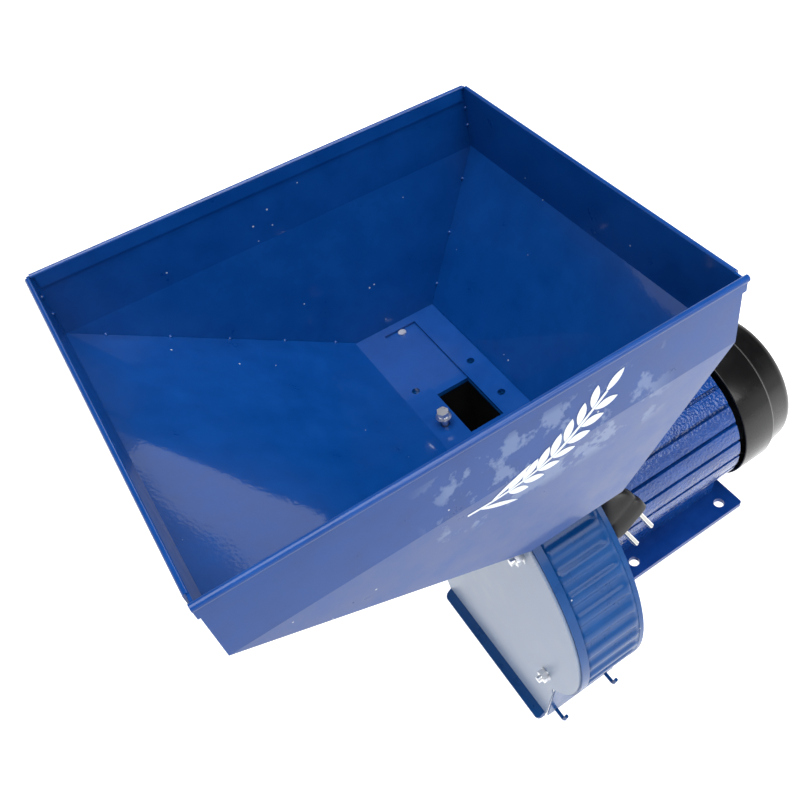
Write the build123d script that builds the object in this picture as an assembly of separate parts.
"""Small electric hammer mill for grain: sheet-metal hopper, ribbed milling drum, direct-drive motor.

Frame: origin at the centre of the motor's four foot holes, on the underside of the foot plate.
+X runs along the shaft from the milling drum to the fan, +Y to the side where the feed gate is
pulled, and +Z is up. All sizes are in millimetres.
"""
from build123d import *
import math
import os

# ---------------------------------------------------------------- driving dimensions
SHAFT_Z = 80.0                    # shaft height above the foot plate's underside

RIM_X0, RIM_X1 = -371.0, -51.0    # hopper rim, from its free end to the end over the motor
RIM_Y = 140.0                     # half width of the hopper rim
RIM_Z = 395.0
BAND = 48.0                       # height of the upright band under the rim
SHEET = 1.5                       # hopper and drum sheet
STRIP_X0, STRIP_X1 = -192.5, -117.8
STRIP_Y = 121.0
STRIP_Z = 238.0                   # top of the hopper's flat bottom strip
STRIP_T = 2.0
HEM_H = 9.0                       # folded hem along the long rims
HEM_R = 2.2
SEAM_GAP = 0.05                   # between a folded panel and the wall it is tacked to

FEED_X = -155.2                   # centre line of the feed slot, gate and bolt holes
FEED_HALF = 14.0
FEED_Y0, FEED_Y1 = -15.5, 33.0    # open throat
SLOT_Y1 = 111.5                   # far end of the slot in the strip
BOLT_X = 24.7                     # bolt holes either side of the feed line
BOLT_Y = (2.6, 44.4)
BOLT_HOLE_R = 3.0
TACK_R = 1.45

GATE_HALF = 18.5
GATE_T = 1.5
GATE_Y1 = 178.0
GATE_TAB = 14.0
GUIDE_T = 2.0                     # gap for the gate between the strip and the drum's top flange

DRUM_R = 149.5                    # over the ribs
DRUM_WALL_R = 147.3
DRUM_IN_R = 144.5
DRUM_X0, DRUM_X1 = -179.0, -118.0
RIBS = 48
COVER_R = 148.0
PLATE_T = 2.0                     # front cover
BACK_T = 4.0                      # back plate
SHOULDER_Y, SHOULDER_Z = 104.0, -38.0   # top of the outlet's sloping side
OUTLET_Y = 86.0                   # half width of the outlet box
OUTLET_X1 = -98.0                 # back of the outlet box
BASE_Z = -125.0
BAR_H = 9.0
SLOPE = (SHOULDER_Y - OUTLET_Y) / (SHOULDER_Z - BASE_Z)     # of the outlet's sides
BAR_X0 = -190.0

SCREEN_R = 92.0
SCREEN_T = 1.2
STUDS = ((-84.6, 171.1), (84.6, 171.1), (-99.5, -3.0), (99.5, -3.0))
STUD_R = 3.0

PIN_CIRCLE = 48.0
PIN_R = 4.0
HAMMER_L = 46.0
HAMMER_W = 25.0
HAMMER_T = 5.0
HAMMER_EYE = 8.0                  # from the pin to the hammer's top end
HAMMER_X = -148.0
FIT = 0.05                        # running clearance on a radius

SHAFT_R = 10.0
FIN_R = 70.8
BODY_R = 66.0
BODY_X0, BODY_X1 = -78.0, 62.0
BORE_R = 60.0
FINS = 24
FOOT_X, FOOT_Y = 71.0, 77.0
FOOT_T = 5.0
FOOT_HOLE_X, FOOT_HOLE_Y = 53.0, 64.0
FOOT_HOLE_R = 5.0

CAPACITOR_R = 19.0

COWL_X0, COWL_STEP, COWL_X1 = 66.7, 101.3, 129.4
COWL_R, COWL_R2 = 73.7, 67.2
COWL_T = 1.6

CORD_R = 4.0
COIL_C = (30.0, 200.0)
COIL_R = 44.0                     # middle of the turns
FLOOR_Z = BASE_Z

PARTS = {}


# ---------------------------------------------------------------- shape helpers
def box(x0, x1, y0, y1, z0, z1):
    """A box from its low and high corners."""
    return Pos((x0 + x1) / 2, (y0 + y1) / 2, (z0 + z1) / 2) * Box(x1 - x0, y1 - y0, z1 - z0)


def rod(r, start, end):
    """A round bar between two points."""
    a, b = Vector(*start), Vector(*end)
    return Plane(origin=a, z_dir=b - a) * Cylinder(r, (b - a).length, align=(Align.CENTER, Align.CENTER, Align.MIN))


def along_x(r, x0, x1, y=0.0, z=SHAFT_Z):
    """A round bar along X."""
    return rod(r, (x0, y, z), (x1, y, z))


def upright(r, x, y, z0, z1):
    """A round bar along Z."""
    return rod(r, (x, y, z0), (x, y, z1))


def tube_x(r_out, r_in, x0, x1, y=0.0, z=SHAFT_Z):
    """A ring along X."""
    return along_x(r_out, x0, x1, y, z) - along_x(r_in, x0 - 1, x1 + 1, y, z)


def outline_x(points, x0, x1):
    """A closed outline of (y, z) points, extruded along X."""
    face = make_face(Polyline(*points, close=True))
    return extrude(Plane.YZ.offset(x0) * face, x1 - x0)


def sheet_quad(corners, inward, t=SHEET):
    """A flat sheet panel from its four outer corners, thickened along inward."""
    face = make_face(Polyline(*corners, close=True))
    return extrude(face, amount=t, dir=inward)


def hex_x(across, x0, x1, y, z):
    """A hexagon nut or head along X."""
    hexagon = RegularPolygon(across / 2, 6, major_radius=False)
    return extrude(Plane(origin=(x0, y, z), z_dir=(1, 0, 0)) * hexagon, x1 - x0)


def ring_of(make, count, start=0.0):
    """Copies of one solid turned about the shaft line."""
    line = Axis((0, 0, SHAFT_Z), (1, 0, 0))
    return [make.rotate(line, start + 360.0 * i / count) for i in range(count)]


def add(name, *solids):
    """Keep a node as one compound of its separate solids."""
    loose = [s for item in solids for s in (item if isinstance(item, list) else [item])]
    PARTS[name] = Compound(children=[s for item in loose for s in item.solids()])


# ---------------------------------------------------------------- hopper
BAND_Z = RIM_Z - BAND
DROP = BAND_Z - STRIP_Z


def long_wall(side):
    """Near (side -1) or far (side +1) wall: upright band, sloping panel and rim hem in one sheet."""
    y_top, y_low = side * RIM_Y, side * STRIP_Y
    slope = Vector(0, -side * DROP, RIM_Y - STRIP_Y).normalized()
    band = box(RIM_X0, RIM_X1, min(y_top, y_top - side * SHEET), max(y_top, y_top - side * SHEET), BAND_Z, RIM_Z)
    panel = sheet_quad([(RIM_X0, y_top, BAND_Z), (RIM_X1, y_top, BAND_Z),
                        (STRIP_X1, y_low, STRIP_Z - STRIP_T), (STRIP_X0, y_low, STRIP_Z - STRIP_T)], slope)
    return band + panel


def near_wall():
    """The near wall's hem is folded outward and ends in a round bead."""
    hem = box(RIM_X0 - 1, RIM_X1 + 1, -RIM_Y - SHEET, -RIM_Y, RIM_Z - HEM_H, RIM_Z)
    bead = rod(HEM_R, (RIM_X0 - 1, -RIM_Y - 0.8, RIM_Z), (RIM_X1 + 1, -RIM_Y - 0.8, RIM_Z))
    return long_wall(-1) + hem + bead


def far_wall():
    """The far wall's hem is folded inward, short of the end panels."""
    inner = RIM_Y - SHEET
    hem = box(RIM_X0 + 4, RIM_X1 - 4, inner - SHEET, inner, RIM_Z - HEM_H, RIM_Z)
    bead = rod(HEM_R - 0.6, (RIM_X0 + 2, RIM_Y - SHEET, RIM_Z), (RIM_X1 - 2, RIM_Y - SHEET, RIM_Z))
    return long_wall(1) + hem + bead


def end_panel(x_top, x_low, inward_x):
    """An end panel between the long walls: upright band with a folded hem, and the sloping floor."""
    y_top, y_low = RIM_Y - SHEET - SEAM_GAP, STRIP_Y - SHEET - SEAM_GAP
    inward = Vector(inward_x * DROP, 0, abs(x_low - x_top)).normalized()
    band = box(min(x_top, x_top + inward_x * SHEET), max(x_top, x_top + inward_x * SHEET),
               -y_top, y_top, BAND_Z, RIM_Z)
    panel = sheet_quad([(x_top, -y_top, BAND_Z), (x_top, y_top, BAND_Z),
                        (x_low, y_low, STRIP_Z), (x_low, -y_low, STRIP_Z)], inward)
    hem_x = x_top - inward_x * SHEET
    hem = box(min(hem_x, x_top), max(hem_x, x_top), -y_top + 5, y_top - 2, RIM_Z - HEM_H, RIM_Z)
    bead = rod(HEM_R - 0.7, (x_top, -y_top + 5, RIM_Z - 0.3), (x_top, y_top - 2, RIM_Z - 0.3))
    return band + panel + hem + bead


def bottom_strip():
    """Flat bottom of the hopper with the feed slot and four bolt holes."""
    plate = box(STRIP_X0, STRIP_X1, -STRIP_Y + SHEET, STRIP_Y - SHEET, STRIP_Z - STRIP_T, STRIP_Z)
    plate -= box(FEED_X - FEED_HALF, FEED_X + FEED_HALF, FEED_Y0, SLOT_Y1, STRIP_Z - 10, STRIP_Z + 10)
    for x, y in bolt_places():
        plate -= upright(BOLT_HOLE_R, x, y, STRIP_Z - 10, STRIP_Z + 10)
    return plate


def bolt_places():
    """Centres of the four hopper bolt holes."""
    return [(FEED_X + sx * BOLT_X, y) for sx in (-1, 1) for y in BOLT_Y]


def seam_tacks():
    """Weld tacks along the seams between the long walls and the end panels."""
    beads = []

    def tack(x, y, z):
        return Pos(x, y, z) * Sphere(TACK_R)

    for side in (-1, 1):
        for x_top, x_low, inward_x in ((RIM_X0, STRIP_X0, 1), (RIM_X1, STRIP_X1, -1)):
            inward = Vector(inward_x * DROP, 0, abs(x_low - x_top)).normalized() * SHEET
            for z in (RIM_Z - 16, RIM_Z - 30):
                beads.append(tack(x_top + inward_x * SHEET, side * (RIM_Y - SHEET), z))
            count = 5 if inward_x > 0 else 3
            for i in range(count):
                s = (i + 0.6) / count
                y = side * (RIM_Y - SHEET - (RIM_Y - STRIP_Y) * s)
                beads.append(tack(x_top + (x_low - x_top) * s + inward.X, y, BAND_Z - DROP * s + inward.Z))
    return beads


def build_hopper():
    add("hopper_near_wall", near_wall())
    add("hopper_far_wall", far_wall())
    add("hopper_left_panel", end_panel(RIM_X0, STRIP_X0, 1))
    add("hopper_right_panel", end_panel(RIM_X1, STRIP_X1, -1))
    add("hopper_bottom_strip", bottom_strip())
    add("seam_tacks", seam_tacks())


# ---------------------------------------------------------------- feed gate
GATE_TOP = STRIP_Z - STRIP_T - 0.25
FLANGE_TOP = STRIP_Z - STRIP_T - GUIDE_T
FLANGE_T = 2.0
RIVET_R, RIVET_Y = 2.0, 107.6


def gate_plate():
    """Sliding plate under the strip, with a finger tab turned down at its far end."""
    plate = box(FEED_X - GATE_HALF, FEED_X + GATE_HALF, FEED_Y1, GATE_Y1, GATE_TOP - GATE_T, GATE_TOP)
    tab = box(FEED_X - GATE_HALF, FEED_X + GATE_HALF, GATE_Y1 - GATE_T, GATE_Y1, GATE_TOP - GATE_TAB, GATE_TOP)
    plate += fillet(tab.edges().filter_by(Axis.Y).group_by(Axis.Z)[0], 5)
    return plate - upright(RIVET_R, FEED_X, RIVET_Y, GATE_TOP - 9, GATE_TOP + 9)


def gate_guides():
    """Two spacer bars that keep the gate's gap and carry the hopper's bolts."""
    bars = []
    for side in (-1, 1):
        x0, x1 = sorted((FEED_X + side * (GATE_HALF + 0.4), FEED_X + side * 33.0))
        bar = box(x0, x1, FEED_Y0 - 12, STRIP_Y - 3, FLANGE_TOP, STRIP_Z - STRIP_T)
        for x, y in bolt_places():
            bar -= upright(BOLT_HOLE_R, x, y, FLANGE_TOP - 5, STRIP_Z)
        bars.append(bar)
    return bars


def throat_flange():
    """Flat flange on top of the drum that the hopper is bolted to."""
    plate = box(FEED_X - 33, FEED_X + 33, FEED_Y0 - 12, STRIP_Y - 3, FLANGE_TOP - FLANGE_T, FLANGE_TOP)
    plate -= box(FEED_X - FEED_HALF, FEED_X + FEED_HALF, FEED_Y0, FEED_Y1, FLANGE_TOP - 9, FLANGE_TOP + 9)
    for x, y in bolt_places():
        plate -= upright(2.6, x, y, FLANGE_TOP - 9, FLANGE_TOP + 9)
    return plate


def feed_chute():
    """Square pipe from the throat flange through the drum wall to the screen."""
    low = SHAFT_Z + SCREEN_R - 4
    top = FLANGE_TOP - FLANGE_T
    outer = box(FEED_X - FEED_HALF - SHEET, FEED_X + FEED_HALF + SHEET, FEED_Y0 - SHEET, FEED_Y1 + SHEET, low, top)
    outer -= box(FEED_X - FEED_HALF, FEED_X + FEED_HALF, FEED_Y0, FEED_Y1, low - 1, top + 1)
    return outer - along_x(SCREEN_R + SCREEN_T, DRUM_X0, DRUM_X1)


def hopper_bolt():
    """Flanged hexagon bolt standing part-way in its hole."""
    x, y = FEED_X - BOLT_X, BOLT_Y[0]
    seat = STRIP_Z + 9.0
    shank = upright(2.4, x, y, STRIP_Z - 7, seat)
    flange = Pos(x, y, seat) * Cone(5.7, 4.4, 1.6, align=(Align.CENTER, Align.CENTER, Align.MIN))
    head = extrude(Plane.XY.offset(seat + 1.2) * Pos(x, y) * RegularPolygon(4.0, 6, major_radius=False), 4.2)
    return shank + flange + head


def build_gate():
    add("gate_plate", gate_plate())
    add("gate_stop_rivet", upright(RIVET_R, FEED_X, RIVET_Y, GATE_TOP - GATE_T, GATE_TOP)
        + upright(3.2, FEED_X, RIVET_Y, GATE_TOP, GATE_TOP + 1.6))
    add("gate_guides", gate_guides())
    add("throat_flange", throat_flange())
    add("feed_chute", feed_chute())
    add("hopper_bolt", hopper_bolt())


# ---------------------------------------------------------------- milling drum
def shaft_point(r, degrees):
    """(y, z) at a radius and angle about the shaft, from +Y towards +Z."""
    a = math.radians(degrees)
    return (r * math.cos(a), SHAFT_Z + r * math.sin(a))


def rib_outline():
    """Closed (y, z) outline of the drum wall with its raised axial ribs."""
    pitch = 360.0 / RIBS
    points = []
    for i in range(RIBS):
        mid = i * pitch
        for turn, r in ((-0.32, DRUM_WALL_R), (-0.17, DRUM_R), (0.17, DRUM_R), (0.32, DRUM_WALL_R)):
            points.append(shaft_point(r, mid + turn * pitch))
    return points


GAP_Y = SHOULDER_Y - 2             # half width of the drum wall's opening over the outlet


def outlet_gap(x0, x1, half, top):
    """The space below the drum where the flour leaves."""
    return box(x0, x1, -half, half, BASE_Z - 10, top)


def drum_shell():
    """Ribbed drum wall, open at the bottom for the outlet and at the top for the feed chute."""
    x0, x1 = DRUM_X0 + 7, DRUM_X1 - BACK_T
    wall = outline_x(rib_outline(), x0, x1) - along_x(DRUM_IN_R, x0 - 1, x1 + 1)
    wall -= outlet_gap(x0 - 1, x1 + 1, GAP_Y, SHAFT_Z - 20)
    wall -= box(FEED_X - FEED_HALF - SHEET, FEED_X + FEED_HALF + SHEET, FEED_Y0 - SHEET, FEED_Y1 + SHEET, 200, 240)
    return wall


def drum_front_rim():
    """Smooth rim at the drum's front edge that the cover closes against."""
    rim = tube_x(DRUM_R + 0.5, DRUM_IN_R - 6, DRUM_X0, DRUM_X0 + PLATE_T)
    rim += tube_x(DRUM_R + 0.5, DRUM_IN_R, DRUM_X0, DRUM_X0 + 7)
    rim -= outlet_gap(DRUM_X0 - 1, DRUM_X0 + 9, GAP_Y, SHAFT_Z - 20)
    return rim


def plate_outline(radius):
    """Round plate that runs down through a hollow shoulder into a foot with sloping sides."""
    drop = 41.5                       # degrees below the shaft where the shoulder starts
    right, left = shaft_point(radius, -drop), shaft_point(radius, 180 + drop)
    hollow_z = (right[1] + SHOULDER_Z) / 2
    foot = BASE_Z + 4
    shoulder = ThreePointArc(right, (SHOULDER_Y + 0.5, hollow_z), (SHOULDER_Y, SHOULDER_Z))
    other = ThreePointArc((-SHOULDER_Y, SHOULDER_Z), (-SHOULDER_Y - 0.5, hollow_z), left)
    sides = Polyline((SHOULDER_Y, SHOULDER_Z), (OUTLET_Y, foot), (-OUTLET_Y, foot), (-SHOULDER_Y, SHOULDER_Z))
    return make_face(ThreePointArc(left, (0, SHAFT_Z + radius), right) + shoulder + sides + other)


def round_plate(radius, x0, x1):
    """A drum end plate."""
    return extrude(Plane.YZ.offset(x0) * plate_outline(radius), x1 - x0)


def front_cover():
    """Removable flat cover, held by four nuts."""
    plate = round_plate(COVER_R, DRUM_X0 - PLATE_T, DRUM_X0)
    for y, z in STUDS:
        plate -= along_x(STUD_R + 0.3, DRUM_X0 - 9, DRUM_X0 + 9, y, z)
    return plate


def back_plate():
    """Back of the drum, with the shaft hole and the motor's four flange screws."""
    plate = round_plate(DRUM_R, DRUM_X1 - BACK_T, DRUM_X1)
    plate -= along_x(SHAFT_R + 4, DRUM_X1 - 9, DRUM_X1 + 9)
    for y, z in STUDS:
        plate -= along_x(STUD_R, DRUM_X1 - 9, DRUM_X1 + 9, y, z)
    for screw in ring_of(along_x(3.0, DRUM_X1 - 9, DRUM_X1 + 9, 36), 4, 45):
        plate -= screw
    return plate


def cover_studs():
    """Four long studs from the back plate through the cover."""
    return [along_x(STUD_R, DRUM_X0 - 12, DRUM_X1 - 0.5, y, z) for y, z in STUDS]


def cover_nuts():
    """Hexagon nuts on plain washers at the front."""
    face = DRUM_X0 - PLATE_T
    nuts = []
    for y, z in STUDS:
        bore = along_x(STUD_R, face - 9, face + 1, y, z)
        nuts.append(along_x(6.2, face - 1.2, face, y, z) - bore)
        nuts.append(hex_x(10, face - 6.2, face - 1.2, y, z) - bore)
    return nuts


def screen():
    """Perforated screen ring round the rotor, open at the top for the feed chute."""
    x0, x1 = DRUM_X0 + PLATE_T, DRUM_X1 - BACK_T
    ring = tube_x(SCREEN_R + SCREEN_T, SCREEN_R, x0, x1)
    ring -= box(x0 - 1, x1 + 1, FEED_Y0 - SHEET, FEED_Y1 + SHEET, SHAFT_Z + 50, SHAFT_Z + 120)
    rows, per_row = 3, 26
    holes = []
    for row in range(rows):
        x = x0 + (x1 - x0) * (row + 0.5) / rows
        for i in range(per_row):
            turn = -225 + 270.0 * (i + 0.5 * (row % 2)) / per_row
            y, z = shaft_point(SCREEN_R - 5, turn)
            y2, z2 = shaft_point(SCREEN_R + 8, turn)
            holes.append(rod(3.0, (x, y, z), (x, y2, z2)))
    return ring - holes


def outlet_skirt():
    """Rectangular outlet box under the drum, with a rounded tab at each back corner."""
    x0, x1 = DRUM_X0, OUTLET_X1
    shelf_z = -68.0
    top = SHOULDER_Z + 14

    def leaf(side, x_end, z0, z1):
        y0, y1 = OUTLET_Y + SLOPE * (z0 - BASE_Z), OUTLET_Y + SLOPE * (z1 - BASE_Z)
        return outline_x([(side * y0, z0), (side * (y0 + SHEET), z0), (side * (y1 + SHEET), z1), (side * y1, z1)],
                         x0, x_end)

    walls = []
    for side in (-1, 1):
        y0, y1 = sorted((side * OUTLET_Y, side * (OUTLET_Y + SHEET + SLOPE * (shelf_z - BASE_Z))))
        tab = rod(8, (x1 - 8, y0, shelf_z), (x1 - 8, y1, shelf_z))
        tab &= leaf(side, x1, shelf_z - 12, shelf_z + 12)
        walls.append(leaf(side, x1, BASE_Z, shelf_z) + leaf(side, DRUM_X1 - BACK_T, shelf_z, top) + tab)
    low, high = OUTLET_Y, OUTLET_Y + SLOPE * (shelf_z - BASE_Z)
    back = outline_x([(-low, BASE_Z), (low, BASE_Z), (high, shelf_z), (-high, shelf_z)], x1 - SHEET, x1)
    shelf_y = high - SLOPE * SHEET
    shelf = box(DRUM_X1, x1 - SHEET, -shelf_y, shelf_y, shelf_z - SHEET, shelf_z)
    return walls[0] + back + shelf + walls[1] - along_x(DRUM_R + 0.5, x0 - 1, x1 + 1)


def base_bar():
    """Front bar of the outlet: a sheet flange folded over with a lengthwise crease, its front corners rounded."""
    reach = OUTLET_Y - 0.5
    section = Polyline((BAR_X0, BASE_Z), (BAR_X0, BASE_Z + 2), (BAR_X0 + 4, BASE_Z + BAR_H - 4),
                       (DRUM_X0 - PLATE_T, BASE_Z + BAR_H), (DRUM_X0 - PLATE_T, BASE_Z), close=True)
    bar = extrude(Plane.XZ.offset(-reach) * make_face(section), 2 * reach)
    corners = [upright(5, BAR_X0 + 5, s * (reach - 5), BASE_Z, BASE_Z + BAR_H) for s in (-1, 1)]
    keep = box(BAR_X0, DRUM_X0, -reach + 5, reach - 5, BASE_Z, BASE_Z + BAR_H)
    keep += box(BAR_X0 + 5, DRUM_X0, -reach, reach, BASE_Z, BASE_Z + BAR_H)
    return bar & (keep + corners[0] + corners[1])


def sack_hooks():
    """Four wire hooks for the sack, bent up at the tips."""
    hooks = []
    for x in (-170.0, -109.0):
        for side in (-1, 1):
            y = side * (OUTLET_Y + SHEET + SLOPE * 9)
            path = FilletPolyline((x, y, BASE_Z + 7), (x, y + side * 13, BASE_Z + 7),
                                  (x + 2, y + side * 15, BASE_Z + 16), radius=3.4)
            start = Plane(origin=path @ 0, z_dir=path % 0)
            hooks.append(sweep(start * Circle(1.8), path=path))
    return hooks


def build_drum():
    add("drum_shell", drum_shell())
    add("drum_front_rim", drum_front_rim())
    add("drum_back_plate", back_plate())
    add("front_cover", front_cover())
    add("cover_studs", cover_studs())
    add("cover_nuts", cover_nuts())
    add("screen", screen())
    add("outlet_skirt", outlet_skirt())
    add("base_bar", base_bar())
    add("sack_hooks", sack_hooks())


# ---------------------------------------------------------------- milling rotor
DISC_X = (-163.0, -135.0)
DISC_T = 3.0
HUB_R = 19.0


def pin_places():
    """(y, z) of the four hammer pins, two above and two below the shaft."""
    return [shaft_point(PIN_CIRCLE, 45 + 90 * i) for i in range(4)]


def rotor_hub():
    """Hub with its two discs, bored for the shaft and the hammer pins."""
    hub = along_x(HUB_R, DISC_X[0], DISC_X[1] + DISC_T)
    for x in DISC_X:
        hub += along_x(58, x, x + DISC_T)
    hub -= along_x(SHAFT_R, -200, 0)
    for y, z in pin_places():
        hub -= along_x(PIN_R, -200, 0, y, z)
    return hub


def hammer_pins():
    """Four pins with round heads, peened behind the back disc."""
    front, back = DISC_X[0], DISC_X[1] + DISC_T
    return [along_x(PIN_R, front - 2, back + 2, y, z) + along_x(6, front - 2, front, y, z) for y, z in pin_places()]


def pin_spacers():
    """Spacer tubes that keep each hammer in the middle of its pin."""
    tubes = []
    for y, z in pin_places():
        tubes.append(tube_x(7, PIN_R + FIT, DISC_X[0] + DISC_T, HAMMER_X - HAMMER_T / 2 - 0.15, y, z))
        tubes.append(tube_x(7, PIN_R + FIT, HAMMER_X + HAMMER_T / 2 + 0.15, DISC_X[1], y, z))
    return tubes


def hammer(y, z):
    """One swing hammer, hanging straight down from its pin."""
    x0, x1 = HAMMER_X - HAMMER_T / 2, HAMMER_X + HAMMER_T / 2
    blade = box(x0, x1, y - HAMMER_W / 2, y + HAMMER_W / 2, z + HAMMER_EYE - HAMMER_L, z + HAMMER_EYE)
    blade = chamfer(blade.edges().filter_by(Axis.X), 1.5)
    return blade - along_x(PIN_R + FIT, x0 - 1, x1 + 1, y, z)


def build_rotor():
    add("rotor_hub", rotor_hub())
    add("hammer_pins", hammer_pins())
    add("pin_spacers", pin_spacers())
    for number, (y, z) in enumerate(pin_places(), 1):
        add(f"hammer_{number}", hammer(y, z))
    nut = hex_x(24, -174, -166, 0, SHAFT_Z) + along_x(15, -166, DISC_X[0])
    add("rotor_nut", nut - along_x(6.0, -180, -150))


# ---------------------------------------------------------------- motor
def fin_outline():
    """Closed (y, z) outline of the cast motor body with its low fins."""
    pitch = 360.0 / FINS
    points = []
    for i in range(FINS):
        mid = (i + 0.5) * pitch
        for turn, r in ((-0.40, FIN_R), (-0.13, FIN_R + 0.2), (0.13, FIN_R + 0.2), (0.40, FIN_R),
                        (0.44, BODY_R), (0.56, BODY_R)):
            points.append(shaft_point(r, mid + turn * pitch))
    return points


def motor_frame():
    """Cast body with fins and two foot rails."""
    body = outline_x(fin_outline(), BODY_X0, BODY_X1)
    for side in (-1, 1):
        y0, y1 = sorted((side * 24, side * 50))
        body += box(BODY_X0 + 7, BODY_X1 - 4, y0, y1, FOOT_T, SHAFT_Z - 44)
    body += box(-34, 44, -30, 36, SHAFT_Z + 58, SHAFT_Z + 72)
    return body - along_x(BORE_R, BODY_X0 - 1, BODY_X1 + 1)


def foot_plate():
    """Steel foot plate with four bolt holes."""
    plate = box(-FOOT_X, FOOT_X, -FOOT_Y, FOOT_Y, 0, FOOT_T)
    plate = fillet(plate.edges().filter_by(Axis.Z), 3)
    for sx in (-1, 1):
        for sy in (-1, 1):
            plate -= upright(FOOT_HOLE_R, sx * FOOT_HOLE_X, sy * FOOT_HOLE_Y, -9, 9)
    return plate


def front_end_shield():
    """Front end shield with its spigot, the flange face for the drum and the bearing seat."""
    shield = along_x(62, BODY_X0 - 12, BODY_X0) + along_x(BORE_R, BODY_X0, BODY_X0 + 5)
    shield += along_x(52, DRUM_X1, BODY_X0 - 12)
    shield -= along_x(SHAFT_R + 3, -130, 0)
    shield -= along_x(23.5, BODY_X0 - 9, 0)
    shield -= along_x(44, BODY_X0 + 5 - 3, 0)
    for hole in ring_of(along_x(3.0, DRUM_X1 - 1, DRUM_X1 + 14, 36), 4, 45):
        shield -= hole
    return shield


def rear_end_shield():
    """Rear end shield with the second bearing seat."""
    shield = along_x(BORE_R, BODY_X1 - 5, BODY_X1) + along_x(64, BODY_X1, BODY_X1 + 4)
    shield += along_x(30, BODY_X1 + 4, BODY_X1 + 14)
    shield -= along_x(SHAFT_R, 0, 200)
    shield -= along_x(20, 0, BODY_X1 + 11)
    shield -= along_x(44, 0, BODY_X1 - 2)
    return shield


def bearing(x0, width, bore_r, outer_r):
    """Ball bearing: outer ring, inner ring and balls."""
    third = (outer_r - bore_r) / 3
    x1 = x0 + width
    mid = (bore_r + outer_r) / 2
    groove = Pos(0, 0, SHAFT_Z) * Rot(0, 90, 0) * Torus(mid, third * 0.72)
    groove = Pos((x0 + x1) / 2, 0, 0) * groove
    outer = tube_x(outer_r, outer_r - third, x0, x1) - groove
    inner = tube_x(bore_r + third, bore_r + FIT, x0, x1) - groove
    ball = Pos((x0 + x1) / 2, mid, SHAFT_Z) * Sphere(third * 0.7)
    return [outer, inner] + ring_of(ball, 8)


def stator_windings():
    """End turns of the stator winding at both ends of the core."""
    rings = []
    for x0, x1 in ((-64, -46), (36, 54)):
        ring = tube_x(56, 42, x0, x1)
        rings.append(fillet(ring.edges().filter_by(GeomType.CIRCLE), 4))
    return rings


def motor_shaft():
    """Shaft from the milling rotor to the fan."""
    shaft = along_x(6.0, -176, -160) + along_x(SHAFT_R, -160, 72) + along_x(8.5, 72, 112)
    return shaft


def fan():
    """Fan hub, disc and radial blades."""
    wheel = along_x(16, 84, 104) + along_x(54, 84, 86.5)
    blade = box(86, 103, 12, 55, SHAFT_Z - 1, SHAFT_Z + 1)
    for item in ring_of(blade, 8):
        wheel += item
    return wheel - along_x(8.5, 80, 120)


def cowl_profile(offset):
    """Half section of the fan cover, offset inward for the inside."""
    r1, r2 = COWL_R - offset, COWL_R2 - offset
    end = COWL_X1 - offset
    step = COWL_STEP - (offset if offset else 0)
    return Polyline((COWL_X0 - (1 if offset else 0), 0), (COWL_X0 - (1 if offset else 0), r1), (step, r1),
                    (step + 1.5, r1 - 2.2), (end - 7, r2), (end - 2, r2 - 2), (end, r2 - 7), (end, 0), close=True)


def fan_cover():
    """Two-step fan cover with ventilation slots in its end."""
    line = Axis((0, 0, 0), (1, 0, 0))
    shell = revolve(make_face(cowl_profile(0)), line) - revolve(make_face(cowl_profile(COWL_T)), line)
    shell = Pos(0, 0, SHAFT_Z) * shell
    for radius, count in ((20, 8), (33, 12), (46, 16)):
        slot = box(COWL_X1 - 9, COWL_X1 + 2, radius - 5, radius + 5, SHAFT_Z - 2, SHAFT_Z + 2)
        shell -= ring_of(slot, count)
    return shell


def terminal_box():
    """Open-topped terminal box on the motor's back."""
    x0, x1, y0, y1, z0, z1 = BOX_LIMITS
    shell = box(x0, x1, y0, y1, z0, z1)
    shell = fillet(shell.edges().filter_by(Axis.Z), 5)
    shell -= box(x0 + 2.5, x1 - 2.5, y0 + 2.5, y1 - 2.5, z0 + 2.5, z1 + 1)
    return shell - rod(6.5, (GLAND[0], y1 - 6, GLAND[2]), (GLAND[0], y1 + 6, GLAND[2]))


BOX_LIMITS = (-30.0, 40.0, -26.0, 32.0, SHAFT_Z + 72.0, SHAFT_Z + 106.0)
GLAND = (5.0, BOX_LIMITS[3], SHAFT_Z + 90.0)
GLAND_LENGTH = 24.0


def cable_gland():
    """Gland with its lock nut, hexagon and tapered nose."""
    x, y, z = GLAND
    thread = rod(6.5, (x, y - 6, z), (x, y, z))
    lock = extrude(Plane(origin=(x, y, z), z_dir=(0, 1, 0)) * RegularPolygon(9.5, 6, major_radius=False), 7)
    nose = Plane(origin=(x, y + 7, z), z_dir=(0, 1, 0)) * Cone(8, 5.6, GLAND_LENGTH - 7,
                                                               align=(Align.CENTER, Align.CENTER, Align.MIN))
    return thread + lock + nose


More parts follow.
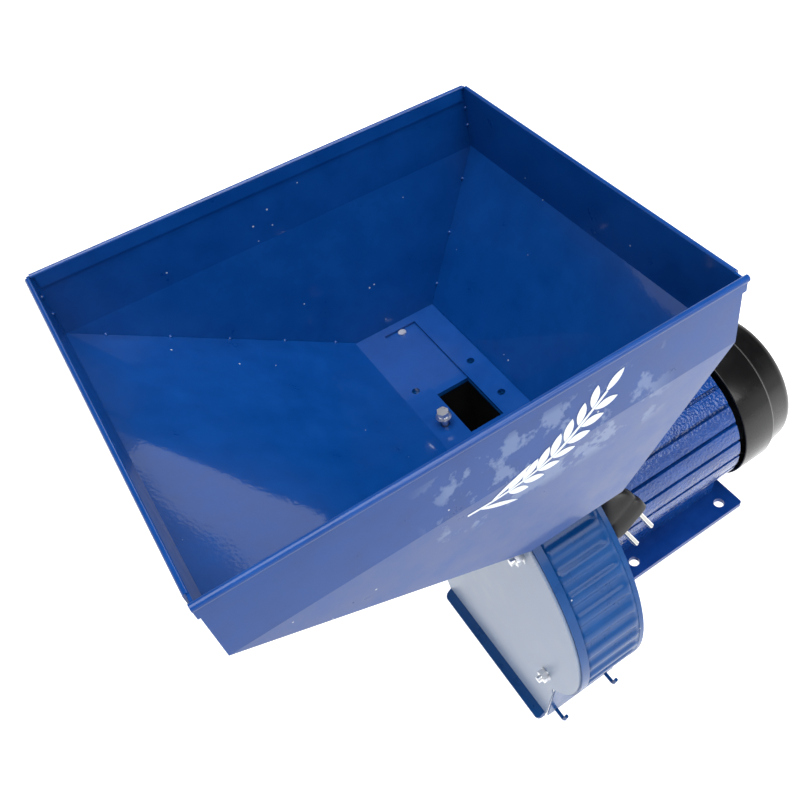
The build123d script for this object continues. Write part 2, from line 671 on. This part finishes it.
def build_motor():
    add("motor_frame", motor_frame())
    add("foot_plate", foot_plate())
    add("front_end_shield", front_end_shield())
    add("rear_end_shield", rear_end_shield())
    add("front_bearing", bearing(BODY_X0 - 9, 14, SHAFT_R, 23.5))
    add("rear_bearing", bearing(BODY_X1 - 1, 12, SHAFT_R, 20))
    add("flange_screws", [s + head for s, head in zip(
        ring_of(along_x(3.0, DRUM_X1 - 5, DRUM_X1 + 12, 36), 4, 45),
        ring_of(along_x(5.5, DRUM_X1 - 8, DRUM_X1 - 4, 36), 4, 45))])
    add("stator_core", tube_x(BORE_R, 38.0, -46, 36))
    add("stator_windings", stator_windings())
    add("motor_shaft", motor_shaft())
    add("rotor_core", tube_x(37.5, SHAFT_R, -48, 38))
    add("fan", fan())
    add("fan_cover", fan_cover())
    x0, x1, y0, y1, z0, z1 = BOX_LIMITS
    add("terminal_box", terminal_box())
    lid = fillet(box(x0 - 1, x1 + 1, y0 - 1, y1 + 1, z1, z1 + 4).edges().filter_by(Axis.Z), 6)
    corners = [(x, y) for x in (x0 + 6, x1 - 6) for y in (y0 + 6, y1 - 6)]
    for x, y in corners:
        lid -= upright(1.7, x, y, z1 - 1, z1 + 9)
    add("terminal_lid", lid)
    add("lid_screws", [upright(1.7, x, y, z1 - 8, z1 + 4) + upright(3.4, x, y, z1 + 4, z1 + 6) for x, y in corners])
    add("terminal_block", box(x0 + 12, x1 - 12, y0 + 8, y0 + 26, z0 + 2.5, z0 + 16))
    tank_y, tank_z = shaft_point(FIN_R + CAPACITOR_R + 2.0, 41)
    tank = along_x(CAPACITOR_R, -30, 42, tank_y, tank_z)
    add("capacitor", fillet(tank.edges().filter_by(GeomType.CIRCLE), 2))
    add("capacitor_clamp", tube_x(CAPACITOR_R + 1.6, CAPACITOR_R, 0, 12, tank_y, tank_z))
    add("cable_gland", cable_gland())


# ---------------------------------------------------------------- mains cord
PLUG_DIR = Vector(0.33, -0.56, -0.76).normalized()
PLUG_FACE = Vector(-75.3, -82.0, 114.5)
PLUG_LENGTH = 36.0
RELIEF = 20.0
PIN_SPAN = Vector(0.94, 0.14, 0.30)
PIN_SPAN = (PIN_SPAN - PLUG_DIR * PIN_SPAN.dot(PLUG_DIR)).normalized()
PLUG_REAR = PLUG_FACE - PLUG_DIR * (PLUG_LENGTH + RELIEF)

LEAD = [(5, GLAND[1] + GLAND_LENGTH, GLAND[2]), (5, 84, 170), (5, 110, 155), (4, 125, 129), (1, 128, 89),
        (-7, 126, 40), (-18, 124, -8), (-29, 124, -44), (-38, 127, -75), (-33, 137, -105), (-8, 150, -119.8),
        (26, 156, -120)]
TAIL = [(-14, 200, -112), (-15, 177, -112), (-25, 153, -108), (-43, 137, -92), (-61, 126, -64),
        (-76, 117, -27), (-87, 110, 16), (-96, 102, 59), (-102, 90, 99), (-105, 69, 134), (-105.5, 44, 165),
        (-105.5, 15, 183), (-105, -13, 186), tuple(PLUG_REAR - PLUG_DIR * 26), tuple(PLUG_REAR)]


def cord_tube(points, name):
    """Cord stretch as straight runs joined by tangent arcs as large as the runs allow."""
    radii = []
    for a, b, c in zip(points, points[1:], points[2:]):
        first, second = Vector(*b) - Vector(*a), Vector(*c) - Vector(*b)
        half_turn = math.radians(first.get_angle(second)) / 2
        radii.append(0.45 * min(first.length, second.length) / math.tan(half_turn))
    path = FilletPolyline(*points, radius=radii)
    tube = sweep(Plane(origin=path @ 0, z_dir=path % 0) * Circle(CORD_R), path=path)
    expected = math.pi * CORD_R ** 2 * path.length
    print(name, "length %.0f volume ratio %.4f radii" % (path.length, tube.volume / expected),
          " ".join("%.0f" % r for r in radii))
    return tube


def coil():
    """Outer shape of the tied coil: two turns side by side in two layers."""
    height = 4 * CORD_R
    z0 = FLOOR_Z + 1
    half = 2 * CORD_R
    c = (COIL_C[0], COIL_C[1])
    ring = upright(COIL_R + half, c[0], c[1], z0, z0 + height) - upright(COIL_R - half, c[0], c[1], z0 - 1, z0 + 40)
    return fillet(ring.edges().filter_by(GeomType.CIRCLE), 3)


def coil_tie():
    """Tie strap round the turns of the coil."""
    x, y = COIL_C
    half, h = 2 * CORD_R, 4 * CORD_R
    r_in, r_out = COIL_R - half - 1, COIL_R + half + 1
    strap = box(x + r_in, x + r_out, y - 3, y + 3, FLOOR_Z, FLOOR_Z + h + 2)
    return strap - coil()


def plug_body():
    """Flat two-pole plug body with a tapered strain relief."""
    rear = PLUG_FACE - PLUG_DIR * PLUG_LENGTH
    face = Plane(origin=PLUG_FACE, x_dir=PIN_SPAN, z_dir=-PLUG_DIR)
    wide = face * RectangleRounded(36, 15, 6)
    middle = face.offset(16) * RectangleRounded(34, 17, 7)
    narrow = face.offset(PLUG_LENGTH) * RectangleRounded(14, 13, 5)
    body = loft(Sketch() + [wide, middle, narrow])
    relief = Plane(origin=rear, z_dir=-PLUG_DIR) * Cone(5.6, 4.6, RELIEF,
                                                        align=(Align.CENTER, Align.CENTER, Align.MIN))
    return body + relief


def plug_pins():
    """Two round pins with tapered tips, and their collars."""
    pins = []
    for side in (-1, 1):
        root = PLUG_FACE + PIN_SPAN * (9.5 * side)
        collar = rod(3.4, tuple(root), tuple(root + PLUG_DIR * 1.2))
        pin = rod(2.4, tuple(root + PLUG_DIR * 1.2), tuple(root + PLUG_DIR * 19))
        tip = pin.edges().filter_by(GeomType.CIRCLE).sort_by_distance(tuple(root + PLUG_DIR * 19))[0]
        pins.append(collar + chamfer(tip, 0.9))
    return pins


def build_cord():
    add("cord_lead", cord_tube(LEAD, "lead"))
    add("cord_tail", cord_tube(TAIL, "tail"))
    add("cord_coil", coil())
    add("coil_tie", coil_tie())
    add("plug_body", plug_body())
    add("plug_pins", plug_pins())


# ---------------------------------------------------------------- build and export
def main():
    build_hopper()
    build_gate()
    build_drum()
    build_rotor()
    build_motor()
    build_cord()
    os.makedirs("parts", exist_ok=True)
    for name, shape in PARTS.items():
        export_step(shape, f"parts/{name}.step")
    print(len(PARTS), "nodes")


main()
